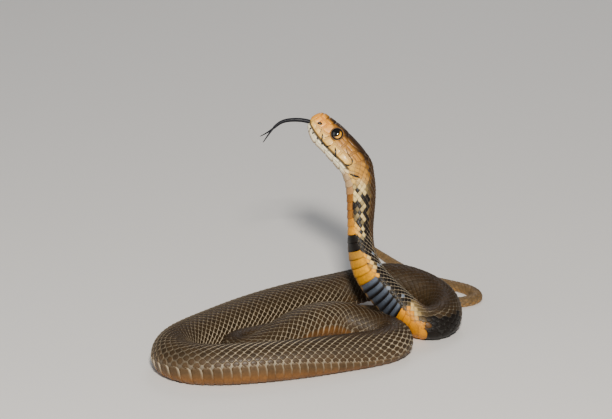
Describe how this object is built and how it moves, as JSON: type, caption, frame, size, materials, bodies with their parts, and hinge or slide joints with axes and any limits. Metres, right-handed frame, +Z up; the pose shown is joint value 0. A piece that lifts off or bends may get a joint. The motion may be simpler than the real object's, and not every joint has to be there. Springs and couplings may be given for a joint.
{
  "type": "mozambique spitting cobra",
  "caption": "Young Mozambique spitting cobra, life-size, coiled on the floor with its banded neck raised and its dark forked tongue out.",
  "frame": {"origin": "on the floor, under the middle of the whole snake's box", "axes": "+Z up, the snake's face looks towards -X, its tail runs off towards +Y"},
  "size_m": [0.1512, 0.2098, 0.0989],
  "materials": {
    "head_skin": "smooth glossy head shields, golden tan over cream lips",
    "neck_skin": "glossy scales, orange tan throat with black bands",
    "body_skin": "satin brown scales with pale skin between them",
    "tail_skin": "satin olive brown scales",
    "eye": "wet, dark, with an orange iris",
    "tongue": "moist, blue black"
  },
  "bodies": {
    "root": {"head": "head_skin", "eye_left": "eye", "eye_right": "eye", "tongue": "tongue", "neck_1": "neck_skin", "neck_2": "neck_skin", "neck_3": "neck_skin", "body_01": "body_skin", "body_02": "body_skin", "body_03": "body_skin", "body_04": "body_skin", "body_05": "body_skin", "body_06": "body_skin", "body_07": "body_skin", "body_08": "body_skin", "body_09": "body_skin", "body_10": "body_skin", "body_11": "body_skin", "body_12": "body_skin", "body_13": "body_skin", "body_14": "body_skin", "body_15": "body_skin", "body_16": "body_skin", "body_17": "body_skin", "tail_1": "tail_skin", "tail_2": "tail_skin", "tail_3": "tail_skin", "tail_4": "tail_skin", "tail_5": "tail_skin"}
  },
  "joints": []
}
